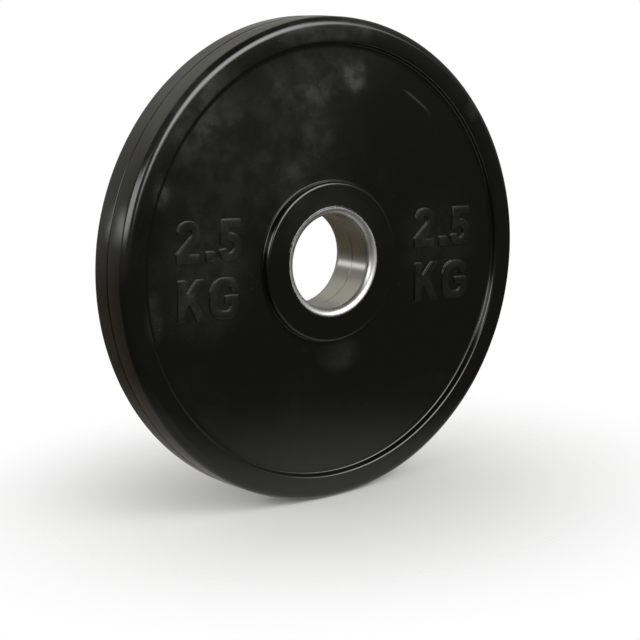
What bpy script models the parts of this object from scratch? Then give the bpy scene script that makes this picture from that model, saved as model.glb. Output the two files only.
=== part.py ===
"""Rubber covered olympic weight plate, standing upright on its rim.

The bore runs along Y, the front face looks towards -Y and +Z is up. The
origin is the centre of the bore, halfway through the plate. All lengths
are in metres.

An iron core lies inside two rubber covers, which meet at the parting
line round the middle of the rim. Two flared steel bushes line the bore
and butt at its middle.
"""
import math

import bmesh
import bpy

# Bore and steel bushes
BORE_RADIUS = 0.0252
BUSH_WALL = 0.0020

# Flare of each bush: a soft bell that turns into a rounded lip, which rolls over onto the rubber
BELL_ROUND = 0.0120
BELL_TURN = math.radians(10.0)
LIP_ROUND = 0.0030
LIP_ROLL = math.radians(20.0)
LIP_EDGE = 0.0006
LIP_SEAT_DEPTH = 0.0014
LIP_STAND = 0.0003

# Rim
PLATE_RADIUS = 0.1300
RIM_THICKNESS = 0.0308
RIM_WIDTH = 0.0135
RIM_ROUND = 0.0036
PARTING_CHAMFER = 0.0004

# Recessed web between the rim and the boss
WEB_THICKNESS = 0.0244
RECESS_DRAFT = math.radians(6.0)
RECESS_ROUND = 0.0014
RECESS_FILLET = 0.0020

# Boss round the bore
BOSS_THICKNESS = 0.0324
BOSS_WIDTH = 0.0178
BOSS_DRAFT = math.radians(3.0)
BOSS_ROUND = 0.0020
BOSS_FILLET = 0.0006

# Iron core
CORE_THICKNESS = 0.0042
CORE_EDGE_COVER = 0.0300
CORE_EDGE_ROUND = 0.0012
CORE_HUB_WALL = 0.0070
CORE_HUB_LENGTH = 0.0244
CORE_HUB_FILLET = 0.0030

# Holes in the core, through which the two covers key into each other
KEY_COUNT = 8
KEY_RADIUS = 0.0080
KEY_ROOT = 0.0010

# Clearance between neighbouring pieces
GAP = 0.0003

# Facets round the axis, steps across each rounded corner and flare,
# and the most of a wall that its rounded ends may take
PLATE_FACETS = 64
BUSH_FACETS = 48
KEY_FACETS = 12
EDGE_STEPS = 4
FILLET_STEPS = 3
HIDDEN_STEPS = 2
BELL_STEPS = 2
LIP_STEPS = 5
SEAT_STEPS = 3
WALL_SHARE = 0.97
MERGE = 0.00001
SHARP_ANGLE = math.radians(35.0)

# Sizes that follow from the ones above
TUBE_RADIUS = BORE_RADIUS + BUSH_WALL
BELL_REACH = BELL_ROUND * (1 - math.cos(BELL_TURN))
LIP_CREST_RADIUS = BORE_RADIUS + BELL_REACH + LIP_ROUND * math.cos(BELL_TURN)
LIP_RADIUS = LIP_CREST_RADIUS + LIP_ROUND * math.sin(LIP_ROLL)
BOSS_TOP = BOSS_THICKNESS / 2
BOSS_RADIUS = BORE_RADIUS + BOSS_WIDTH
LIP_TOP = BOSS_TOP + LIP_STAND
LIP_BACK = LIP_TOP - LIP_ROUND * (1 - math.cos(LIP_ROLL)) - LIP_EDGE
WEB_TOP = WEB_THICKNESS / 2
RIM_TOP = RIM_THICKNESS / 2
RECESS_RADIUS = PLATE_RADIUS - RIM_WIDTH
CORE_TOP = CORE_THICKNESS / 2
CORE_RADIUS = PLATE_RADIUS - CORE_EDGE_COVER
CORE_BORE_RADIUS = TUBE_RADIUS + GAP
CORE_HUB_RADIUS = CORE_BORE_RADIUS + CORE_HUB_WALL
CORE_HUB_TOP = CORE_HUB_LENGTH / 2
KEY_CIRCLE_RADIUS = (CORE_HUB_RADIUS + CORE_RADIUS) / 2


def clear_scene():
    """Remove every object that the scene holds."""
    for thing in list(bpy.data.objects):
        bpy.data.objects.remove(thing)


def make_collection(name):
    """Add a collection to the scene."""
    group = bpy.data.collections.new(name)
    bpy.context.scene.collection.children.link(group)
    return group


def make_material(name, colour, roughness, metallic):
    """Make a plain Principled material."""
    material = bpy.data.materials.new(name)
    material.use_nodes = True
    shader = material.node_tree.nodes["Principled BSDF"]
    shader.inputs["Base Color"].default_value = (*colour, 1.0)
    shader.inputs["Roughness"].default_value = roughness
    shader.inputs["Metallic"].default_value = metallic
    material.diffuse_color = (*colour, 1.0)
    return material


def unit(start, end):
    """Give the direction from one point to another, and their distance."""
    step = (end[0] - start[0], end[1] - start[1])
    length = math.hypot(*step)
    return (step[0] / length, step[1] / length), length


def rounded_corner(before, corner, after, radius, steps):
    """Give the points of an arc that is tangent to both sides of a corner."""
    back, _ = unit(corner, before)
    ahead, _ = unit(corner, after)
    opening = math.acos(back[0] * ahead[0] + back[1] * ahead[1])
    reach = radius / math.tan(opening / 2)
    bisector, _ = unit((0, 0), (back[0] + ahead[0], back[1] + ahead[1]))
    distance = radius / math.sin(opening / 2)
    centre = (corner[0] + bisector[0] * distance, corner[1] + bisector[1] * distance)
    first = (corner[0] + back[0] * reach, corner[1] + back[1] * reach)
    start = math.atan2(first[1] - centre[1], first[0] - centre[0])
    side = back[0] * ahead[1] - back[1] * ahead[0]
    sweep = math.copysign(math.pi - opening, -side)
    points = []
    for step in range(steps + 1):
        angle = start + sweep * step / steps
        points.append((centre[0] + radius * math.cos(angle), centre[1] + radius * math.sin(angle)))
    return points


def rounded_outline(corners):
    """Turn corners (radius, height, rounding, steps) into a closed outline."""
    outline = []
    for index, (across, up, rounding, steps) in enumerate(corners):
        if rounding == 0:
            outline.append((across, up))
            continue
        before = corners[index - 1][:2]
        after = corners[(index + 1) % len(corners)][:2]
        outline += rounded_corner(before, (across, up), after, rounding, steps)
    return outline


def arc(across, up, radius, start, end, steps):
    """Give the points of an arc round a centre; an angle of 0 points back to the bore's axis."""
    points = []
    for step in range(steps + 1):
        angle = start + (end - start) * step / steps
        points.append((across - radius * math.cos(angle), up + radius * math.sin(angle)))
    return points


def flare_face():
    """Give the face of a bush's flare, from the bore's wall over the crest to the lip's edge."""
    centre = LIP_TOP - LIP_ROUND
    bell_up = centre + (LIP_ROUND - BELL_ROUND) * math.sin(BELL_TURN)
    bell = arc(BORE_RADIUS + BELL_ROUND, bell_up, BELL_ROUND, 0, BELL_TURN, BELL_STEPS)
    lip = arc(LIP_CREST_RADIUS, centre, LIP_ROUND, BELL_TURN, math.pi / 2 + LIP_ROLL, LIP_STEPS)
    return bell[:-1] + lip


def flare_back(clearance):
    """Give the back of a bush's flare, from the tube's outside to the lip's edge."""
    reach = LIP_RADIUS - TUBE_RADIUS
    points = []
    for step in range(SEAT_STEPS + 1):
        angle = math.pi / 2 * step / SEAT_STEPS
        across = LIP_RADIUS + clearance - reach * math.cos(angle)
        points.append((across, LIP_BACK - clearance - LIP_SEAT_DEPTH * (1 - math.sin(angle))))
    return points


def revolve(name, outline, facets, group):
    """Turn a closed outline round the local Z axis, with a flat facet on -Y.

    The outline runs clockwise: outwards along the top, down the outer
    side, inwards along the bottom and up the inner side.
    """
    half_facet = math.pi / facets
    profile = bpy.data.meshes.new(name)
    vertices = [(x * math.cos(half_facet), x * math.sin(half_facet), z) for x, z in outline]
    edges = [(i, (i + 1) % len(outline)) for i in range(len(outline))]
    profile.from_pydata(vertices, edges, [])
    turned = bpy.data.objects.new(name, profile)
    group.objects.link(turned)
    screw = turned.modifiers.new("Turn", "SCREW")
    screw.axis = "Z"
    screw.angle = 2 * math.pi
    screw.steps = facets
    screw.render_steps = facets
    screw.use_merge_vertices = True
    screw.merge_threshold = MERGE
    screw.use_smooth_shade = True
    return turned


def key_cylinders(name, radius, bottom, top, group):
    """Make the ring of upright cylinders on the circle of the core's holes."""
    mesh = bpy.data.meshes.new(name)
    work = bmesh.new()
    for index in range(KEY_COUNT):
        turn = 2 * math.pi * index / KEY_COUNT
        made = bmesh.ops.create_cone(
            work, cap_ends=True, segments=KEY_FACETS, radius1=radius, radius2=radius, depth=top - bottom)
        offset = (
            KEY_CIRCLE_RADIUS * math.cos(turn),
            KEY_CIRCLE_RADIUS * math.sin(turn),
            (top + bottom) / 2)
        bmesh.ops.translate(work, verts=made["verts"], vec=offset)
    work.to_mesh(mesh)
    work.free()
    ring = bpy.data.objects.new(name, mesh)
    group.objects.link(ring)
    ring.hide_render = True
    ring.display_type = "WIRE"
    return ring


def combine(body, tool, operation):
    """Join or cut a body with a closed tool shape."""
    boolean = body.modifiers.new(tool.name, "BOOLEAN")
    boolean.operation = operation
    boolean.solver = "EXACT"
    boolean.object = tool


def settle(body):
    """Fix a body's modifiers into its mesh and shade its round faces smooth."""
    bpy.context.view_layer.update()
    evaluated = body.evaluated_get(bpy.context.evaluated_depsgraph_get())
    mesh = bpy.data.meshes.new_from_object(evaluated)
    body.modifiers.clear()
    body.data = mesh
    mesh.shade_smooth()
    mesh.set_sharp_from_angle(angle=SHARP_ANGLE)


def fitted(height, draft, edge, fillet):
    """Shrink the edge and fillet of a drafted wall where it is too low for both."""
    reach = (edge + fillet) * math.tan(math.pi / 4 - draft / 2)
    share = min(1, WALL_SHARE * height / math.cos(draft) / reach)
    return edge * share, fillet * share


def cover_outline():
    """Give the section of one cover: moulded outside, parting face and core's seat."""
    boss_height = BOSS_TOP - WEB_TOP
    boss_spread = boss_height * math.tan(BOSS_DRAFT)
    boss_round, boss_fillet = fitted(boss_height, BOSS_DRAFT, BOSS_ROUND, BOSS_FILLET)
    recess_depth = RIM_TOP - WEB_TOP
    recess_spread = recess_depth * math.tan(RECESS_DRAFT)
    recess_round, recess_fillet = fitted(recess_depth, RECESS_DRAFT, RECESS_ROUND, RECESS_FILLET)
    moulded = [
        (LIP_RADIUS + GAP, BOSS_TOP, 0, 0),
        (BOSS_RADIUS, BOSS_TOP, boss_round, EDGE_STEPS),
        (BOSS_RADIUS + boss_spread, WEB_TOP, boss_fillet, FILLET_STEPS),
        (RECESS_RADIUS - recess_spread, WEB_TOP, recess_fillet, FILLET_STEPS),
        (RECESS_RADIUS, RIM_TOP, recess_round, EDGE_STEPS),
        (PLATE_RADIUS, RIM_TOP, RIM_ROUND, EDGE_STEPS),
        (PLATE_RADIUS, GAP / 2 + PARTING_CHAMFER, 0, 0),
        (PLATE_RADIUS - PARTING_CHAMFER, GAP / 2, 0, 0),
    ]
    core_seat = [
        (CORE_RADIUS + GAP, GAP / 2, 0, 0),
        (CORE_RADIUS + GAP, CORE_TOP + GAP, CORE_EDGE_ROUND + GAP, HIDDEN_STEPS),
        (CORE_HUB_RADIUS + GAP, CORE_TOP + GAP, CORE_HUB_FILLET - GAP, HIDDEN_STEPS),
        (CORE_HUB_RADIUS + GAP, CORE_HUB_TOP + GAP, 0, 0),
        (CORE_BORE_RADIUS, CORE_HUB_TOP + GAP, 0, 0),
    ]
    return rounded_outline(moulded + core_seat) + flare_back(GAP)


def core_outline():
    """Give the section of the core: a hub ring and a flat disc with eased edges."""
    upper = [
        (CORE_BORE_RADIUS, CORE_HUB_TOP, 0, 0),
        (CORE_HUB_RADIUS, CORE_HUB_TOP, 0, 0),
        (CORE_HUB_RADIUS, CORE_TOP, CORE_HUB_FILLET, HIDDEN_STEPS),
        (CORE_RADIUS, CORE_TOP, CORE_EDGE_ROUND, HIDDEN_STEPS),
    ]
    lower = [(across, -up, rounding, steps) for across, up, rounding, steps in reversed(upper)]
    return rounded_outline(upper + lower)


def bush_outline():
    """Give the section of one bush: a plain tube that flares into a thin lip."""
    butt = [(TUBE_RADIUS, GAP / 2), (BORE_RADIUS, GAP / 2)]
    return flare_back(0)[::-1] + butt + flare_face()


def face_sideways(body, front):
    """Turn a piece whose local +Z looks out of the plate to its own side."""
    body.rotation_euler = (math.pi / 2 if front else -math.pi / 2, 0, 0)


def build():
    clear_scene()
    pieces = make_collection("olympic_weight_plate")
    tools = make_collection("shaping_tools")
    rubber = make_material("black_rubber", (0.018, 0.018, 0.019), 0.38, 0.0)
    steel = make_material("turned_steel", (0.62, 0.60, 0.57), 0.24, 1.0)
    iron = make_material("cast_iron", (0.11, 0.105, 0.10), 0.65, 0.85)

    core = revolve("iron_core", core_outline(), PLATE_FACETS, pieces)
    holes = key_cylinders("key_holes", KEY_RADIUS, -CORE_THICKNESS, CORE_THICKNESS, tools)
    combine(core, holes, "DIFFERENCE")
    core.data.materials.append(iron)
    settle(core)
    face_sideways(core, True)

    keys = key_cylinders("keys", KEY_RADIUS - GAP, GAP / 2, CORE_TOP + GAP + KEY_ROOT, tools)
    for side in ("front", "rear"):
        cover = revolve(side + "_rubber_cover", cover_outline(), PLATE_FACETS, pieces)
        combine(cover, keys, "UNION")
        cover.data.materials.append(rubber)
        settle(cover)
        face_sideways(cover, side == "front")

        bush = revolve(side + "_steel_bush", bush_outline(), BUSH_FACETS, pieces)
        bush.data.materials.append(steel)
        settle(bush)
        face_sideways(bush, side == "front")


build()
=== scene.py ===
"""Photographic look of the rubber covered olympic weight plate.

Fine meshes, materials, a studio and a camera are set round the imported
frame, in the frame's own axes: the bore runs along Y, the front face
looks towards -Y and +Z is up. All lengths are in metres.
"""
import math

import bmesh
import bpy
from mathutils import Matrix, Vector, noise
from mathutils.geometry import delaunay_2d_cdt


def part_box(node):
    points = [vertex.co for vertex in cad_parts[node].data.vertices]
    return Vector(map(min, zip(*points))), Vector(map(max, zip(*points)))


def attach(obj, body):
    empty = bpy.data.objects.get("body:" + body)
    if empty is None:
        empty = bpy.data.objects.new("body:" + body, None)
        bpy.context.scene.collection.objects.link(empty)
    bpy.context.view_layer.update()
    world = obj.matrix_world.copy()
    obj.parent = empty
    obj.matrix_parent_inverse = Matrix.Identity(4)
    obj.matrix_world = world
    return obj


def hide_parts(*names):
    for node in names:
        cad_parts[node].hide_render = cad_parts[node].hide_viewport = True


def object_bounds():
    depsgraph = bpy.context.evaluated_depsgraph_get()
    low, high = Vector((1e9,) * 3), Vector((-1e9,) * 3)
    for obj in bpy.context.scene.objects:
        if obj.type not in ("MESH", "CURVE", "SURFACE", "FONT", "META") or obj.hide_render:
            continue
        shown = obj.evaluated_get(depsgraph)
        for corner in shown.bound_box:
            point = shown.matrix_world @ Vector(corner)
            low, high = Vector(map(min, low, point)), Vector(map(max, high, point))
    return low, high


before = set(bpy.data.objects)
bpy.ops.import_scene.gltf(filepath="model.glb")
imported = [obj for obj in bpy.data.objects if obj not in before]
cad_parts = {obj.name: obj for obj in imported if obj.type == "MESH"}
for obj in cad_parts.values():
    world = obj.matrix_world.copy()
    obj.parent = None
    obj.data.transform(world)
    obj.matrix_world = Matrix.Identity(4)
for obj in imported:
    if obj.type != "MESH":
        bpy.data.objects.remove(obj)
cad_low, cad_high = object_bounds()

# Outer limits, read from the frame
COVER_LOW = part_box("front_rubber_cover")[0]
BUSH_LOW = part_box("front_steel_bush")[0]
OUTER_RADIUS = -COVER_LOW.z
BOSS_TOP = -COVER_LOW.y
LIP_TOP = -BUSH_LOW.y

# Sides of the plate: name, whether it is the front, and the seeds of its cover's and its bush's noise
SIDES = (
    ("front", True, 1.0, 2.0),
    ("rear", False, 5.0, 7.0),
)

# Bore and steel bushes
BORE_RADIUS = 0.0252
BUSH_WALL = 0.0020
BUSH_SHARP_ANGLE = math.radians(40.0)

# Butt seam between the bushes: it opens and closes on its way round the bore
BUTT_CHAMFER = 0.00003
BUTT_GAP = 0.00022
BUTT_WAVES = 5.0
BUTT_CONTRAST = 1.6
BUTT_OPENING = 0.65

# Flare of each bush: a soft bell, then a rounded lip that rolls over onto the rubber
BELL_ROUND = 0.0120
BELL_TURN = math.radians(10.0)
LIP_ROUND = 0.0036
LIP_ROLL = math.radians(7.0)
LIP_EDGE = 0.0006
LIP_SEAT_DEPTH = 0.0014
LIP_CREST_RADIUS = BORE_RADIUS + BELL_ROUND * (1 - math.cos(BELL_TURN)) + LIP_ROUND * math.cos(BELL_TURN)
LIP_RADIUS = LIP_CREST_RADIUS + LIP_ROUND * math.sin(LIP_ROLL)
LIP_BACK = LIP_TOP - LIP_ROUND * (1 - math.cos(LIP_ROLL)) - LIP_EDGE

# Rim, its mould draft and the parting seam round its middle
PLATE_RADIUS = 0.1300
SIDE_DRAFT = math.radians(1.2)
RIM_TOP = 0.0154
RIM_WIDTH = 0.0135
RIM_ROUND = 0.0046
SEAM_HALF_WIDTH = 0.0005
SEAM_DEPTH = 0.0006
SEAM_ROUND = 0.00025

# Recessed web
WEB_TOP = 0.0122
RECESS_RADIUS = PLATE_RADIUS - RIM_WIDTH
RECESS_DRAFT = math.radians(13.0)
RECESS_ROUND = 0.0014
RECESS_FILLET = 0.0011

# Boss round the bore
BOSS_WIDTH = 0.0178
BOSS_RADIUS = BORE_RADIUS + BOSS_WIDTH
BOSS_DRAFT = math.radians(3.0)
BOSS_ROUND = 0.0017
BOSS_FILLET = 0.0004

# Bead of rubber that creeps over the lip's edge, unevenly
BEAD_WIDTH = 0.0009
BEAD_THICKNESS = 0.00010
BEAD_NOSE = 0.3
BEAD_OVERLAP = 0.00022
BEAD_SWAY = 0.00044
BEAD_SWAY_WAVES = 1.5
BEAD_RAGGED = 0.00016
BEAD_RAGGED_WAVES = (14.0, 40.0)

# Slope of the bead towards the boss's face: shares of its width and of its fall
BEAD_SLOPE = ((0.4, 0.30), (0.7, 0.85))

# Seat of the iron core inside the covers
CORE_GAP = 0.0003
CORE_TOP = 0.0021
CORE_RADIUS = 0.1000
CORE_BORE_RADIUS = BORE_RADIUS + BUSH_WALL + CORE_GAP
CORE_HUB_WALL = 0.0070
CORE_HUB_RADIUS = CORE_BORE_RADIUS + CORE_HUB_WALL
CORE_HUB_TOP = 0.0122

# Raised weight marks on the web
CAP_HEIGHT = 0.0215
MARK_HEIGHT = 0.0009
MARK_FOOT_FILLET = 0.0002
MARK_TOP_ROUND = 0.00017
MARK_FOOT_MARGIN = 0.00015
MARK_TILT = math.radians(-4.9)
MARK_LEFT = -0.0770
MARK_RIGHT = 0.0785
FIGURE_ROW = 0.0149
LETTER_ROW = -0.0153

# Unevenness of the moulding, and the shift of its noise for each unit of the seed
WAVE_LENGTH = 0.034
WAVE_HEIGHT = 0.00007
RIPPLE_LENGTH = 0.011
RIPPLE_HEIGHT = 0.000018
NOISE_SHIFT = (1.0, 2.3, -1.7)

# Fineness of the meshes
COLUMNS = 360
BUSH_COLUMNS = 192
ROUND_STEPS = 10
FILLET_STEPS = 7
GLYPH_STEPS = 8
GLYPH_CORNER_STEPS = 3
EDGE_STEPS = 4
BELL_STEPS = 6
LIP_STEPS = 20
BACK_STEPS = 8
SEAM_STEPS = 4
WEB_SPACING = 0.0026
WEB_CLEARANCE = 0.0012

# Gap between meshes that touch on the real plate
JOINT_GAP = 0.00002

# Triangulation: keep what lies inside the outlines, and merge points closer than this
CDT_INSIDE = 1
CDT_MERGE = 1e-9


def unit(start, end):
    """Give the direction from one point to another."""
    step = (end[0] - start[0], end[1] - start[1])
    length = math.hypot(*step)
    return step[0] / length, step[1] / length


def rounded_corner(before, corner, after, radius, steps):
    """Give the points of an arc that is tangent to both sides of a corner."""
    back = unit(corner, before)
    ahead = unit(corner, after)
    opening = math.acos(back[0] * ahead[0] + back[1] * ahead[1])
    reach = radius / math.tan(opening / 2)
    bisector = unit((0, 0), (back[0] + ahead[0], back[1] + ahead[1]))
    distance = radius / math.sin(opening / 2)
    centre = (corner[0] + bisector[0] * distance, corner[1] + bisector[1] * distance)
    first = (corner[0] + back[0] * reach, corner[1] + back[1] * reach)
    start = math.atan2(first[1] - centre[1], first[0] - centre[0])
    side = back[0] * ahead[1] - back[1] * ahead[0]
    sweep = math.copysign(math.pi - opening, -side)
    points = []
    for step in range(steps + 1):
        angle = start + sweep * step / steps
        points.append((centre[0] + radius * math.cos(angle), centre[1] + radius * math.sin(angle)))
    return points


def rounded_outline(corners):
    """Turn corners (across, up, rounding, steps) into a closed outline."""
    outline = []
    for index, (across, up, rounding, steps) in enumerate(corners):
        if rounding == 0:
            outline.append((across, up))
            continue
        before = corners[index - 1][:2]
        after = corners[(index + 1) % len(corners)][:2]
        outline += rounded_corner(before, (across, up), after, rounding, steps)
    return outline


def arc(across, up, radius, start, end, steps):
    """Give the points of an arc round a centre; an angle of 0 points back to the bore's axis."""
    points = []
    for step in range(steps + 1):
        angle = start + (end - start) * step / steps
        points.append((across - radius * math.cos(angle), up + radius * math.sin(angle)))
    return points


def flare_face():
    """Give the face of a bush's flare, from the bore's wall over the crest to the lip's edge."""
    centre = LIP_TOP - LIP_ROUND
    bell_up = centre + (LIP_ROUND - BELL_ROUND) * math.sin(BELL_TURN)
    bell = arc(BORE_RADIUS + BELL_ROUND, bell_up, BELL_ROUND, 0, BELL_TURN, BELL_STEPS)
    lip = arc(LIP_CREST_RADIUS, centre, LIP_ROUND, BELL_TURN, math.pi / 2 + LIP_ROLL, LIP_STEPS)
    return bell[:-1] + lip


def flare_back(clearance):
    """Give the back of a bush's flare, from the tube's outside to the lip's edge."""
    reach = LIP_RADIUS - BORE_RADIUS - BUSH_WALL
    points = []
    for step in range(BACK_STEPS + 1):
        angle = math.pi / 2 * step / BACK_STEPS
        across = LIP_RADIUS + clearance - reach * math.cos(angle)
        points.append((across, LIP_BACK - clearance - LIP_SEAT_DEPTH * (1 - math.sin(angle))))
    return points


def lip_surface(radius):
    """Give the height of the lip's face at a radius near its edge."""
    return LIP_TOP - LIP_ROUND + (LIP_ROUND ** 2 - (radius - LIP_CREST_RADIUS) ** 2) ** 0.5


# Raised marks: outlines in units of the cap height, from the lower left corner

# Rounding and steps of a glyph's plain corner
PLAIN_CORNER = (0.03, GLYPH_CORNER_STEPS)


def glyph(*corners):
    """Round a glyph's corners; a corner without its own rounding gets the plain one."""
    full = [corner + (GLYPH_STEPS,) if len(corner) == 3 else corner + PLAIN_CORNER for corner in corners]
    return rounded_outline(full)


def figure_two():
    """Give the outline of a 2."""
    return glyph(
        (0.02, 0.69), (0.02, 1.00, 0.27), (0.65, 1.00, 0.29), (0.65, 0.57, 0.22), (0.32, 0.205),
        (0.65, 0.205), (0.65, 0.00), (0.00, 0.00), (0.00, 0.235, 0.06), (0.43, 0.65, 0.10),
        (0.43, 0.805, 0.08), (0.235, 0.805, 0.08), (0.235, 0.69))


def figure_five():
    """Give the outline of a 5."""
    return glyph(
        (0.06, 1.00), (0.60, 1.00), (0.60, 0.805), (0.255, 0.805), (0.245, 0.67), (0.63, 0.67, 0.29),
        (0.63, 0.00, 0.30), (0.00, 0.00, 0.24), (0.00, 0.28), (0.215, 0.30), (0.215, 0.19, 0.07),
        (0.42, 0.19, 0.12), (0.42, 0.48, 0.12), (0.215, 0.48), (0.205, 0.40), (0.02, 0.40))


def letter_k():
    """Give the outline of a K."""
    return glyph(
        (0.00, 0.00), (0.00, 1.00), (0.215, 1.00), (0.215, 0.62), (0.52, 1.00), (0.77, 1.00),
        (0.46, 0.61), (0.79, 0.00), (0.54, 0.00), (0.315, 0.435), (0.215, 0.31), (0.215, 0.00))


def letter_g():
    """Give the outline of a G."""
    return glyph(
        (0.82, 0.69), (0.61, 0.65), (0.61, 0.805, 0.11), (0.215, 0.805, 0.19), (0.215, 0.195, 0.19),
        (0.62, 0.195, 0.12), (0.62, 0.38), (0.44, 0.38), (0.44, 0.565), (0.84, 0.565),
        (0.84, 0.00, 0.34), (0.00, 0.00, 0.38), (0.00, 1.00, 0.38), (0.82, 1.00, 0.27))


def full_stop():
    """Give the outline of a full stop."""
    return glyph((0.00, 0.00), (0.00, 0.25), (0.27, 0.25), (0.27, 0.00))


# Each mark: its outline and width in cap heights, and its middle along the row and its row in metres
MARKS = (
    (figure_two(), 0.65, -0.0130, FIGURE_ROW),
    (full_stop(), 0.27, 0.0007, FIGURE_ROW),
    (figure_five(), 0.63, 0.0129, FIGURE_ROW),
    (letter_k(), 0.79, -0.0103, LETTER_ROW),
    (letter_g(), 0.84, 0.0097, LETTER_ROW),
)


def placed_marks(tilt):
    """Give every mark's outline on the web, counter-clockwise, in metres."""
    turn = Matrix.Rotation(tilt, 2)
    outlines = []
    for block in (MARK_LEFT, MARK_RIGHT):
        for outline, width, middle, row in MARKS:
            corner = Vector((block + middle - width * CAP_HEIGHT / 2, row - CAP_HEIGHT / 2))
            points = [turn @ (corner + Vector(point) * CAP_HEIGHT) for point in outline]
            outlines.append(points if area(points) > 0 else points[::-1])
    return outlines


def area(points):
    """Give the area of a closed outline, which is positive if it runs counter-clockwise."""
    return sum(a.x * b.y - b.x * a.y for a, b in zip(points, points[1:] + points[:1])) / 2


def offset(points, distance):
    """Move a counter-clockwise outline outwards by a distance."""
    moved = []
    for before, here, after in zip(points[-1:] + points[:-1], points, points[1:] + points[:1]):
        first = (here - before).normalized()
        second = (after - here).normalized()
        outward = (Vector((first.y, -first.x)) + Vector((second.y, -second.x))).normalized()
        mitre = outward.dot(Vector((first.y, -first.x)))
        moved.append(here + outward * distance / mitre)
    return moved


def mark_levels():
    """Give the section of a mark's edge: (outward offset, height) from foot to top."""
    shoulder = MARK_HEIGHT - MARK_TOP_ROUND
    foot = []
    top = []
    for step in range(EDGE_STEPS + 1):
        turn = math.pi / 2 * step / EDGE_STEPS
        foot.append((MARK_FOOT_FILLET * (1 - math.sin(turn)), MARK_FOOT_FILLET * (1 - math.cos(turn))))
        top.append((MARK_TOP_ROUND * (math.cos(turn) - 1), shoulder + MARK_TOP_ROUND * math.sin(turn)))
    return [(MARK_FOOT_FILLET + MARK_FOOT_MARGIN, 0.0)] + foot + top


def inside(point, outline):
    """Tell if a point lies inside a closed outline."""
    crossings = 0
    for start, end in zip(outline, outline[1:] + outline[:1]):
        if (start.y > point.y) != (end.y > point.y):
            share = (point.y - start.y) / (end.y - start.y)
            crossings += point.x < start.x + (end.x - start.x) * share
    return crossings % 2 == 1


def clear_of(point, outline):
    """Tell if a point lies outside an outline and away from its edge."""
    for start, end in zip(outline, outline[1:] + outline[:1]):
        along = end - start
        share = max(0.0, min(1.0, (point - start).dot(along) / along.length_squared))
        if (start + along * share - point).length < WEB_CLEARANCE:
            return False
    return not inside(point, outline)


def fill_region(work, rings, loose=()):
    """Fill the space inside the first ring and outside the others with triangles."""
    verts = [vert for ring in rings for vert in ring] + list(loose)
    flat = [Vector((vert.co.x, vert.co.z)) for vert in verts]
    holes = []
    edges = []
    start = 0
    for ring in rings:
        end = start + len(ring)
        edges += [(index, index + 1 if index + 1 < end else start) for index in range(start, end)]
        if start:
            holes.append((range(start, end), flat[start:end]))
        start = end
    made = delaunay_2d_cdt(flat, edges, [], CDT_INSIDE, CDT_MERGE)
    triangles, sources = made[2], made[3]
    for triangle in triangles:
        corners = [sources[index][0] for index in triangle]
        middle = sum((flat[index] for index in corners), Vector((0, 0))) / 3
        in_hole = (all(index in span for index in corners) and inside(middle, hole) for span, hole in holes)
        if not any(in_hole):
            work.faces.new([verts[index] for index in corners])


def web_points(inner, outer, outlines):
    """Give loose points over the web, clear of its edges and of the marks."""
    widest = mark_levels()[0][0]
    feet = [offset(points, widest) for points in outlines]
    found = []
    rings = round((outer - inner) / WEB_SPACING)
    for ring in range(1, rings):
        radius = inner + (outer - inner) * ring / rings
        count = round(2 * math.pi * radius / WEB_SPACING)
        stagger = 0.5 * (ring % 2)
        for index in range(count):
            angle = 2 * math.pi * (index + stagger) / count
            point = Vector((radius * math.cos(angle), radius * math.sin(angle)))
            if all(clear_of(point, foot) for foot in feet):
                found.append(point)
    return found


def round_noise(angle, waves, seed):
    """Give a smooth noise value that closes up round the bore."""
    return noise.noise(Vector((math.cos(angle) * waves, math.sin(angle) * waves, seed)))


def bead_rows(angle, seed):
    """Give the bead of rubber on the lip's edge: from under its tip over to the boss's face."""
    sway = BEAD_SWAY * round_noise(angle, BEAD_SWAY_WAVES, seed)
    ragged = BEAD_RAGGED * sum(round_noise(angle, waves, seed) for waves in BEAD_RAGGED_WAVES)
    tip = LIP_RADIUS - max(0.0, BEAD_OVERLAP + sway + ragged)
    top = min(lip_surface(tip) + BEAD_THICKNESS, LIP_TOP)
    rows = [
        (LIP_RADIUS + JOINT_GAP, LIP_BACK),
        (LIP_RADIUS + JOINT_GAP, lip_surface(LIP_RADIUS) + JOINT_GAP),
        (tip, min(lip_surface(tip) + JOINT_GAP / 2, LIP_TOP)),
        (tip + BEAD_THICKNESS * BEAD_NOSE, top - BEAD_THICKNESS * BEAD_NOSE),
        (tip + BEAD_THICKNESS, top),
    ]
    rows += [(tip + BEAD_WIDTH * along, top - (top - BOSS_TOP) * down) for along, down in BEAD_SLOPE]
    rows.append((tip + BEAD_WIDTH, BOSS_TOP))
    return rows


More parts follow.
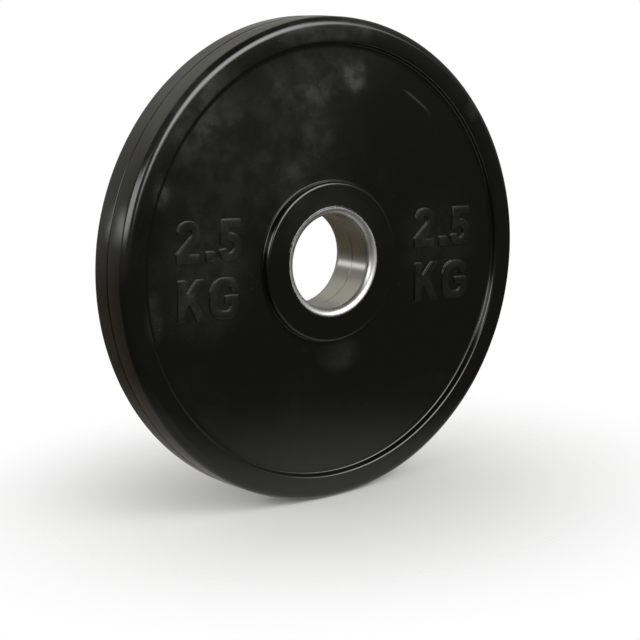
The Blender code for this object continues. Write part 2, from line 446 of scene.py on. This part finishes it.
def cover_rows(angle, seed):
    """Give the section of one cover from the web's outer edge round to its inner edge."""
    boss_spread = (BOSS_TOP - WEB_TOP) * math.tan(BOSS_DRAFT)
    recess_spread = (RIM_TOP - WEB_TOP) * math.tan(RECESS_DRAFT)
    side_spread = RIM_TOP * math.tan(SIDE_DRAFT)
    corners = [
        (BOSS_RADIUS + boss_spread, WEB_TOP, BOSS_FILLET, FILLET_STEPS),
        (RECESS_RADIUS - recess_spread, WEB_TOP, RECESS_FILLET, FILLET_STEPS),
        (RECESS_RADIUS, RIM_TOP, RECESS_ROUND, ROUND_STEPS),
        (OUTER_RADIUS - side_spread, RIM_TOP, RIM_ROUND, ROUND_STEPS),
        (OUTER_RADIUS, SEAM_HALF_WIDTH, SEAM_ROUND, SEAM_STEPS),
        (OUTER_RADIUS - SEAM_DEPTH, JOINT_GAP, 0, 0),
        (CORE_RADIUS + CORE_GAP, JOINT_GAP, 0, 0),
        (CORE_RADIUS + CORE_GAP, CORE_TOP + CORE_GAP, 0, 0),
        (CORE_HUB_RADIUS + CORE_GAP, CORE_TOP + CORE_GAP, 0, 0),
        (CORE_HUB_RADIUS + CORE_GAP, CORE_HUB_TOP + CORE_GAP, 0, 0),
        (CORE_BORE_RADIUS, CORE_HUB_TOP + CORE_GAP, 0, 0),
    ]
    corners += [(across, up, 0, 0) for across, up in flare_back(JOINT_GAP)]
    corners += [(across, up, 0, 0) for across, up in bead_rows(angle, seed)]
    corners.append((BOSS_RADIUS, BOSS_TOP, BOSS_ROUND, ROUND_STEPS))
    outline = rounded_outline(corners)
    web_start = FILLET_STEPS + 1
    return outline[web_start:] + outline[:web_start]


def bush_rows(angle, seed):
    """Give the section of one bush: a plain tube that flares into a rounded lip."""
    opening = max(0.0, round_noise(angle, BUTT_WAVES, seed) * BUTT_CONTRAST + BUTT_OPENING)
    gap = JOINT_GAP + BUTT_GAP * opening
    butt = [
        (BORE_RADIUS + BUSH_WALL, gap),
        (BORE_RADIUS + BUTT_CHAMFER, gap),
        (BORE_RADIUS, gap + BUTT_CHAMFER),
    ]
    return flare_back(0)[::-1] + butt + flare_face()


def on_side(radius, angle, height, front):
    """Give the place of a point of the section, turned round the bore."""
    across = radius * math.cos(angle)
    up = radius * math.sin(angle)
    return Vector((across, -height, up)) if front else Vector((-across, height, up))


def on_face(point, height, front):
    """Give the place of a point of the web's plan."""
    return on_side(point.length, math.atan2(point.y, point.x), height, front)


def join_rings(work, first, second):
    """Join two like rings with a band of quads."""
    count = len(first)
    for index in range(count):
        ahead = (index + 1) % count
        work.faces.new((first[index], first[ahead], second[ahead], second[index]))


def turn_section(work, rows_at, columns, front, closed):
    """Turn a section, which may change on the way, round the bore and give its rings of vertices."""
    rings = None
    for column in range(columns):
        angle = 2 * math.pi * column / columns
        rows = rows_at(angle)
        rings = rings or [[] for _ in rows]
        for ring, (radius, height) in zip(rings, rows):
            ring.append(work.verts.new(on_side(radius, angle, height, front)))
    pairs = list(zip(rings, rings[1:]))
    if closed:
        pairs.append((rings[-1], rings[0]))
    for first, second in pairs:
        join_rings(work, first, second)
    return rings


def add_marks(work, outlines, front):
    """Raise the marks from the web and give the rings of their feet."""
    feet = []
    for points in outlines:
        rings = []
        for reach, height in mark_levels():
            moved = offset(points, reach)
            rings.append([work.verts.new(on_face(point, WEB_TOP + height, front)) for point in moved])
        for lower, upper in zip(rings, rings[1:]):
            join_rings(work, lower, upper)
        fill_region(work, [rings[-1]])
        feet.append(rings[0])
    return feet


def axis_distance(vert):
    """Give a vertex's distance from the bore's axis."""
    return math.hypot(vert.co.x, vert.co.z)


def unevenness(place, seed):
    """Give the small rise of a moulded face at a place."""
    shift = Vector([share * seed for share in NOISE_SHIFT])
    wave = noise.noise(place / WAVE_LENGTH + shift)
    ripple = noise.noise(place / RIPPLE_LENGTH - shift)
    return wave * WAVE_HEIGHT + ripple * RIPPLE_HEIGHT


def roughen(work, seed):
    """Make a cover's outer faces slightly uneven, and keep them within the plate's radius."""
    bmesh.ops.recalc_face_normals(work, faces=work.faces)
    work.normal_update()
    for vert in work.verts:
        if abs(vert.co.y) > SEAM_HALF_WIDTH and axis_distance(vert) > LIP_RADIUS + BEAD_WIDTH:
            vert.co += vert.normal * unevenness(vert.co, seed)
            overrun = max(1.0, axis_distance(vert) / OUTER_RADIUS)
            vert.co.x /= overrun
            vert.co.z /= overrun


def finish_mesh(work, name, material):
    """Turn mesh code into an object with outward, smooth faces."""
    bmesh.ops.recalc_face_normals(work, faces=work.faces)
    mesh = bpy.data.meshes.new(name)
    work.to_mesh(mesh)
    work.free()
    mesh.shade_smooth()
    mesh.materials.append(material)
    piece = bpy.data.objects.new(name, mesh)
    bpy.context.scene.collection.objects.link(piece)
    return piece


def make_cover(side, front, seed, material):
    """Make one rubber cover with its raised marks."""
    work = bmesh.new()
    rings = turn_section(work, lambda angle: cover_rows(angle, seed), COLUMNS, front, False)
    outer, inner = rings[0], rings[-1]
    outlines = placed_marks(MARK_TILT if front else -MARK_TILT)
    feet = add_marks(work, outlines, front)
    spread = web_points(axis_distance(inner[0]), axis_distance(outer[0]), outlines)
    loose = [work.verts.new(on_face(point, WEB_TOP, front)) for point in spread]
    fill_region(work, [outer, inner] + feet, loose)
    roughen(work, seed)
    piece = finish_mesh(work, side + "_cover_moulding", material)
    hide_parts(side + "_rubber_cover")
    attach(piece, "root")


def make_bush(side, front, seed, material):
    """Make one steel bush."""
    work = bmesh.new()
    turn_section(work, lambda angle: bush_rows(angle, seed), BUSH_COLUMNS, front, True)
    piece = finish_mesh(work, side + "_bush_turning", material)
    piece.data.set_sharp_from_angle(angle=BUSH_SHARP_ANGLE)
    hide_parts(side + "_steel_bush")
    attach(piece, "root")


# Materials

# Noises: waves in a metre, detail and roughness
CLOUD_NOISE = (75.0, 8.0, 0.62)
HAZE_NOISE = (22.0, 6.0, 0.6)
SPECK_NOISE = (800.0, 1.0, 0.55)
GRAIN_NOISE = (1400.0, 2.0, 0.55)
TOOLING_NOISE = (90.0, 4.0, 0.6)
CASTING_NOISE = (300.0, 6.0, 0.7)

# What the noises turn into: from one range of values, to another
CLOUD_RANGE = (0.38, 0.66, 0.40, 1.0)
HAZE_RANGE = (0.50, 0.85, 0.0, 0.16)
SPECK_RANGE = (0.72, 0.80, 0.0, 0.35)
CASTING_ROUGHNESS = (0.3, 0.7, 0.5, 0.75)

# Bumps: strength and depth
GRAIN_BUMP = (0.10, 0.0001)
TOOLING_BUMP = (0.06, 0.0001)
CASTING_BUMP = (0.5, 0.0004)

# Rubber, from clean to fully hazed
RUBBER_IOR = 1.56
RUBBER_CLEAN = (0.0030, 0.0030, 0.0026)
RUBBER_HAZED = (0.036, 0.036, 0.034)
RUBBER_ROUGHNESS = (0.12, 0.36)

# Hazy patches on the faces: place across and up, half width, half height in metres, and strength
HAZE_PATCHES = (
    (-0.045, 0.066, 0.090, 0.065, 0.26),
    (0.000, 0.100, 0.055, 0.024, 0.34),
    (0.0234, 0.0975, 0.0100, 0.0125, 0.75),
    (-0.004, 0.074, 0.016, 0.030, 0.24),
    (-0.022, 0.050, 0.018, 0.020, 0.20),
    (-0.103, 0.050, 0.008, 0.012, 0.60),
    (-0.080, 0.004, 0.040, 0.045, 0.30),
    (-0.112, -0.014, 0.008, 0.018, 0.45),
    (0.004, -0.052, 0.018, 0.012, 0.30),
    (0.078, 0.000, 0.040, 0.040, 0.12),
    (-0.084, 0.092, 0.044, 0.038, 0.36),
    (0.006, 0.123, 0.064, 0.012, 0.42),
    (0.102, 0.072, 0.006, 0.009, 0.45),
)

# Share of a patch's reach within which it keeps its full strength
PATCH_CORE = 0.25

# Painted shade: rings over the walls of the boss and the recess, and over the web next to the recess wall,
# are kept free of haze so that they stay darker: inner and outer radius, and softness
SHADED_WALL_RINGS = (
    (BOSS_RADIUS - BOSS_ROUND / 2, BOSS_RADIUS + 0.001),
    (RECESS_RADIUS - 0.003, RECESS_RADIUS),
)
SHADED_WALL_SOFTNESS = 0.0005

# Curved scuff on the web: radii of its sides, angles of its ends, their softness, and strength
SCUFF_RADII = (0.1023, 0.1035)
SCUFF_ANGLES = (math.radians(45.5), math.radians(56.5))
SCUFF_SIDE_SOFTNESS = 0.0003
SCUFF_END_SOFTNESS = 0.04
SCUFF_STRENGTH = 0.5

# Rubbed tops of the raised marks: radii on the web, their softness, heights, and strength
RUBBED_RADII = (0.050, 0.110)
RUBBED_SOFTNESS = 0.002
RUBBED_HEIGHTS = (WEB_TOP + MARK_HEIGHT / 2, WEB_TOP + MARK_HEIGHT * 0.9)
RUBBED_STRENGTH = 0.15

# Steel: the wall's streaks, stretched along the bore's axis, and the lip with its start and its full depth
WALL_LIGHT = (0.48, 0.465, 0.435)
WALL_DARK = (0.38, 0.365, 0.34)
WALL_STRETCH = (1.0, 22.0, 1.0)
LIP_COLOUR = (0.56, 0.555, 0.54)
LIP_DEPTHS = (LIP_TOP - 1.5 * LIP_ROUND, LIP_TOP - LIP_ROUND / 3)
STEEL_ROUGHNESS = (0.18, 0.38)

# Cast iron
IRON_DARK = (0.08, 0.077, 0.073)
IRON_LIGHT = (0.15, 0.14, 0.13)
IRON_METALLIC = 0.85

# Sockets of a colour mix
MIX_FIRST = 6
MIX_SECOND = 7
MIX_RESULT = 2


def add_node(tree, kind, inputs=None, **settings):
    """Add a node, with settings and with inputs that are set or linked."""
    made = tree.nodes.new(kind)
    for name, value in settings.items():
        setattr(made, name, value)
    for key, value in (inputs or {}).items():
        if isinstance(value, bpy.types.NodeSocket):
            tree.links.new(value, made.inputs[key])
        else:
            made.inputs[key].default_value = value
    return made


def new_material(name):
    """Make a material with an empty node tree, and give both."""
    material = bpy.data.materials.new(name)
    material.use_nodes = True
    material.node_tree.nodes.clear()
    return material, material.node_tree


def set_surface(tree, shader):
    """Link a shader to a new material output."""
    add_node(tree, "ShaderNodeOutputMaterial", {"Surface": shader.outputs[0]})


def own_place(tree):
    """Give a point's place in the object's own axes."""
    return add_node(tree, "ShaderNodeTexCoord").outputs["Object"]


def parts_of(tree, vector):
    """Split a vector into its X, Y and Z."""
    return add_node(tree, "ShaderNodeSeparateXYZ", {0: vector}).outputs


def length_of(tree, vector):
    """Give the length of a vector."""
    return add_node(tree, "ShaderNodeVectorMath", {0: vector}, operation="LENGTH").outputs["Value"]


def noise_of(tree, place, scale, detail, roughness):
    """Give a noise value at a scale in waves for each metre."""
    inputs = {"Vector": place, "Scale": scale, "Detail": detail, "Roughness": roughness}
    return add_node(tree, "ShaderNodeTexNoise", inputs).outputs["Fac"]


def bump_of(tree, height, strength, depth):
    """Give the normal of a surface that rises with a value."""
    inputs = {"Strength": strength, "Distance": depth, "Height": height}
    return add_node(tree, "ShaderNodeBump", inputs).outputs[0]


def ranged(tree, value, low, high, to_low, to_high):
    """Map a value from one range smoothly onto another."""
    inputs = {"Value": value, "From Min": low, "From Max": high, "To Min": to_low, "To Max": to_high}
    return add_node(tree, "ShaderNodeMapRange", inputs, interpolation_type="SMOOTHSTEP").outputs[0]


def colour_between(tree, share, first, second):
    """Mix two colours by a share."""
    inputs = {0: share, MIX_FIRST: first, MIX_SECOND: second}
    for key in (MIX_FIRST, MIX_SECOND):
        if not isinstance(inputs[key], bpy.types.NodeSocket):
            inputs[key] = (*inputs[key], 1.0)
    return add_node(tree, "ShaderNodeMix", inputs, data_type="RGBA").outputs[MIX_RESULT]


def calculate(tree, operation, *values):
    """Add a plain calculation."""
    return add_node(tree, "ShaderNodeMath", dict(enumerate(values)), operation=operation).outputs[0]


def product(tree, *values):
    """Multiply values, one after another."""
    result = values[0]
    for value in values[1:]:
        result = calculate(tree, "MULTIPLY", result, value)
    return result


def between(tree, value, low, high, soft):
    """Give 1 between two limits and 0 beyond them, with soft sides."""
    rising = ranged(tree, value, low - soft, low + soft, 0.0, 1.0)
    falling = ranged(tree, value, high - soft, high + soft, 1.0, 0.0)
    return product(tree, rising, falling)


def patchy_haze(tree, place):
    """Give the haze on the rubber: faint all over, and stronger in patches."""
    haze = ranged(tree, noise_of(tree, place, *HAZE_NOISE), *HAZE_RANGE)
    for across, up, width, height, strength in HAZE_PATCHES:
        shifted = add_node(tree, "ShaderNodeMapping", {
            "Vector": place,
            "Location": (-across / width, 0.0, -up / height),
            "Scale": (1 / width, 0.0, 1 / height)}).outputs[0]
        patch = ranged(tree, length_of(tree, shifted), PATCH_CORE, 1.0, strength, 0.0)
        haze = calculate(tree, "ADD", haze, patch)
    return haze


def rubber_material():
    """Satin black moulded rubber with haze, fine grain and handling marks, and painted shade on the walls
    of the boss and the recess, which are kept free of haze.
    """
    material, tree = new_material("moulded_rubber")
    place = own_place(tree)
    parts = parts_of(tree, place)
    flat = add_node(tree, "ShaderNodeCombineXYZ", {0: parts["X"], 2: parts["Z"]}).outputs[0]
    radius = length_of(tree, flat)
    angle = calculate(tree, "ARCTAN2", parts["Z"], parts["X"])
    depth = calculate(tree, "ABSOLUTE", parts["Y"])

    cloud = ranged(tree, noise_of(tree, place, *CLOUD_NOISE), *CLOUD_RANGE)
    faces = 1.0
    # Painted shade: the haze is taken off the walls of the boss and the recess and off the web next to the
    # recess wall, so these stay darker
    for radii in SHADED_WALL_RINGS:
        faces = calculate(tree, "SUBTRACT", faces, between(tree, radius, *radii, SHADED_WALL_SOFTNESS))
    haze = product(tree, patchy_haze(tree, place), cloud, faces)

    scuff_sides = between(tree, radius, *SCUFF_RADII, SCUFF_SIDE_SOFTNESS)
    scuff_ends = between(tree, angle, *SCUFF_ANGLES, SCUFF_END_SOFTNESS)
    scuff = product(tree, scuff_sides, scuff_ends, SCUFF_STRENGTH)
    raised = ranged(tree, depth, *RUBBED_HEIGHTS, 0.0, RUBBED_STRENGTH)
    rubbed = product(tree, raised, between(tree, radius, *RUBBED_RADII, RUBBED_SOFTNESS), cloud)
    specks = ranged(tree, noise_of(tree, place, *SPECK_NOISE), *SPECK_RANGE)
    for mark in (scuff, rubbed, specks):
        haze = calculate(tree, "ADD", haze, mark)

    shader = add_node(tree, "ShaderNodeBsdfPrincipled", {
        "Base Color": colour_between(tree, haze, RUBBER_CLEAN, RUBBER_HAZED),
        "Roughness": ranged(tree, haze, 0.0, 1.0, *RUBBER_ROUGHNESS),
        "IOR": RUBBER_IOR,
        "Normal": bump_of(tree, noise_of(tree, place, *GRAIN_NOISE), *GRAIN_BUMP)})
    set_surface(tree, shader)
    return material


def steel_material():
    """Turned steel: a fine tooled bore and a duller, rubbed lip."""
    material, tree = new_material("turned_steel")
    place = own_place(tree)
    stretched = add_node(tree, "ShaderNodeMapping", {"Vector": place, "Scale": WALL_STRETCH}).outputs[0]
    tooling = noise_of(tree, stretched, *TOOLING_NOISE)
    wall = colour_between(tree, tooling, WALL_LIGHT, WALL_DARK)
    depth = calculate(tree, "ABSOLUTE", parts_of(tree, place)["Y"])
    lip = ranged(tree, depth, *LIP_DEPTHS, 0.0, 1.0)
    shader = add_node(tree, "ShaderNodeBsdfPrincipled", {
        "Base Color": colour_between(tree, lip, wall, LIP_COLOUR),
        "Metallic": 1.0,
        "Roughness": ranged(tree, lip, 0.0, 1.0, *STEEL_ROUGHNESS),
        "Normal": bump_of(tree, tooling, *TOOLING_BUMP)})
    set_surface(tree, shader)
    return material


def iron_material():
    """Grey cast iron as it comes from the mould."""
    material, tree = new_material("cast_iron")
    casting = noise_of(tree, own_place(tree), *CASTING_NOISE)
    shader = add_node(tree, "ShaderNodeBsdfPrincipled", {
        "Base Color": colour_between(tree, casting, IRON_DARK, IRON_LIGHT),
        "Metallic": IRON_METALLIC,
        "Roughness": ranged(tree, casting, *CASTING_ROUGHNESS),
        "Normal": bump_of(tree, casting, *CASTING_BUMP)})
    set_surface(tree, shader)
    return material


# Studio

CAMERA_PLACE = Vector((-0.61628, -0.84418, 0.18542))
CAMERA_HEADING = math.radians(36.18)
CAMERA_PITCH = math.radians(-11.85)
CAMERA_ROLL = math.radians(-2.82)
CAMERA_LENS = 110.6
SENSOR_WIDTH = 36.0

# Floor: solid under the plate's middle, and fading into the white backdrop towards its edge
FLOOR_RADIUS = 0.24
FLOOR_FADE_START = 0.0
FLOOR_SEGMENTS = 96
FLOOR_COLOUR = (0.80, 0.80, 0.79)

WHITE = (1.0, 1.0, 1.0)

# Room that lights the plate: elevation in degrees and colour, where 1 is white
ROOM = (
    (-90.0, (0.062, 0.060, 0.051)),
    (-8.0, (0.062, 0.060, 0.051)),
    (6.0, (0.25, 0.25, 0.245)),
    (34.0, (0.25, 0.25, 0.245)),
    (52.0, (0.06, 0.06, 0.06)),
    (90.0, (0.06, 0.06, 0.06)),
)

# Backdrop behind the plate: elevation in degrees and colour, from the ground to the ceiling
BACKDROP = (
    (-48.0, (0.02, 0.018, 0.015)),
    (-34.0, (0.12, 0.097, 0.067)),
    (-10.0, (0.17, 0.146, 0.108)),
    (2.0, (0.30, 0.29, 0.26)),
    (9.0, (0.40, 0.40, 0.37)),
    (16.0, (0.36, 0.355, 0.325)),
    (26.0, (0.40, 0.395, 0.365)),
    (34.0, (0.62, 0.62, 0.55)),
    (50.0, (0.62, 0.62, 0.55)),
    (62.0, (0.06, 0.06, 0.06)),
)

# Turn from the front, in degrees, over which the room gives way to the backdrop
BACKDROP_SIDES = (134.0, 148.0)

# Windows: azimuths (0 in front, 90 to the right), elevations and softness in degrees, and brightness
WINDOWS = (
    ((-12.0, 46.0), (5.0, 48.0), 5.0, 3.6),
    ((-4.0, 38.0), (14.0, 37.0), 9.0, 7.0),
    ((-112.0, -45.0), (12.0, 34.0), 5.0, 4.4),
    ((-148.0, -135.0), (6.0, 12.5), 3.5, 1.9),
)


def make_camera():
    """Set the camera at the photograph's viewing angle."""
    data = bpy.data.cameras.new("camera")
    data.sensor_width = SENSOR_WIDTH
    data.lens = CAMERA_LENS
    camera = bpy.data.objects.new("camera", data)
    heading = Matrix.Rotation(-CAMERA_HEADING, 4, "Z")
    pitch = Matrix.Rotation(math.pi / 2 + CAMERA_PITCH, 4, "X")
    roll = Matrix.Rotation(CAMERA_ROLL, 4, "Z")
    camera.matrix_world = Matrix.Translation(CAMERA_PLACE) @ heading @ pitch @ roll
    bpy.context.scene.collection.objects.link(camera)
    bpy.context.scene.camera = camera


def floor_material():
    """Pale paint that turns clear towards the floor's edge."""
    material, tree = new_material("studio_floor")
    far = ranged(tree, length_of(tree, own_place(tree)), FLOOR_FADE_START, FLOOR_RADIUS, 0.0, 1.0)
    paint = add_node(tree, "ShaderNodeBsdfDiffuse", {"Color": (*FLOOR_COLOUR, 1.0)})
    clear = add_node(tree, "ShaderNodeBsdfTransparent")
    mixed = add_node(tree, "ShaderNodeMixShader", {0: far, 1: paint.outputs[0], 2: clear.outputs[0]})
    set_surface(tree, mixed)
    return material


def make_floor():
    """Lay a pale round floor under the plate that fades out into the backdrop."""
    mesh = bpy.data.meshes.new("floor")
    work = bmesh.new()
    bmesh.ops.create_circle(work, cap_ends=True, segments=FLOOR_SEGMENTS, radius=FLOOR_RADIUS)
    work.to_mesh(mesh)
    work.free()
    mesh.materials.append(floor_material())
    floor = bpy.data.objects.new("floor", mesh)
    floor.location = (0.0, 0.0, cad_low.z)
    bpy.context.scene.collection.objects.link(floor)


def height_colours(tree, elevation, stops):
    """Give a colour that changes evenly with elevation, through stops in degrees."""
    lowest, highest = stops[0][0], stops[-1][0]
    share = add_node(tree, "ShaderNodeMapRange", {
        "Value": elevation,
        "From Min": math.radians(lowest),
        "From Max": math.radians(highest)}).outputs[0]
    ramp = add_node(tree, "ShaderNodeValToRGB", {0: share})
    elements = ramp.color_ramp.elements
    ready = len(elements)
    for index, (height, colour) in enumerate(stops):
        position = (height - lowest) / (highest - lowest)
        element = elements[index] if index < ready else elements.new(position)
        element.position = position
        element.color = (*colour, 1.0)
    return ramp.outputs[0]


def between_degrees(tree, value, limits, soft):
    """Give 1 between two limits in degrees and 0 beyond them, with soft sides."""
    low, high = limits
    return between(tree, value, math.radians(low), math.radians(high), math.radians(soft))


def make_world():
    """Set the room round the plate: walls, a pale backdrop and windows; the camera sees plain white."""
    world = bpy.data.worlds.new("studio")
    world.use_nodes = True
    tree = world.node_tree
    tree.nodes.clear()
    way = parts_of(tree, add_node(tree, "ShaderNodeTexCoord").outputs["Generated"])
    elevation = calculate(tree, "ARCSINE", way["Z"])
    azimuth = calculate(tree, "ARCTAN2", way["X"], calculate(tree, "MULTIPLY", way["Y"], -1.0))
    turn = calculate(tree, "ABSOLUTE", azimuth)

    start, full = BACKDROP_SIDES
    behind = ranged(tree, turn, math.radians(start), math.radians(full), 0.0, 1.0)
    room = height_colours(tree, elevation, ROOM)
    backdrop = height_colours(tree, elevation, BACKDROP)
    colour = colour_between(tree, behind, room, backdrop)
    for sides, heights, soft, brightness in WINDOWS:
        across = between_degrees(tree, azimuth, sides, soft)
        height = between_degrees(tree, elevation, heights, soft)
        shape = product(tree, across, height)
        colour = colour_between(tree, shape, colour, (brightness, brightness, brightness))

    rays = add_node(tree, "ShaderNodeLightPath").outputs
    seen = calculate(tree, "MAXIMUM", rays["Is Camera Ray"], rays["Is Transmission Ray"])
    colour = colour_between(tree, seen, colour, WHITE)
    background = add_node(tree, "ShaderNodeBackground", {"Color": colour, "Strength": 1.0})
    add_node(tree, "ShaderNodeOutputWorld", {"Surface": background.outputs[0]})
    bpy.context.scene.world = world


def build():
    """Dress the frame, and set the camera, the floor and the room."""
    rubber = rubber_material()
    steel = steel_material()
    for side, front, cover_seed, bush_seed in SIDES:
        make_cover(side, front, cover_seed, rubber)
        make_bush(side, front, bush_seed, steel)
    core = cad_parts["iron_core"]
    core.data.materials.clear()
    core.data.materials.append(iron_material())
    make_camera()
    make_floor()
    make_world()
    bpy.context.scene.view_settings.view_transform = "Standard"


build()
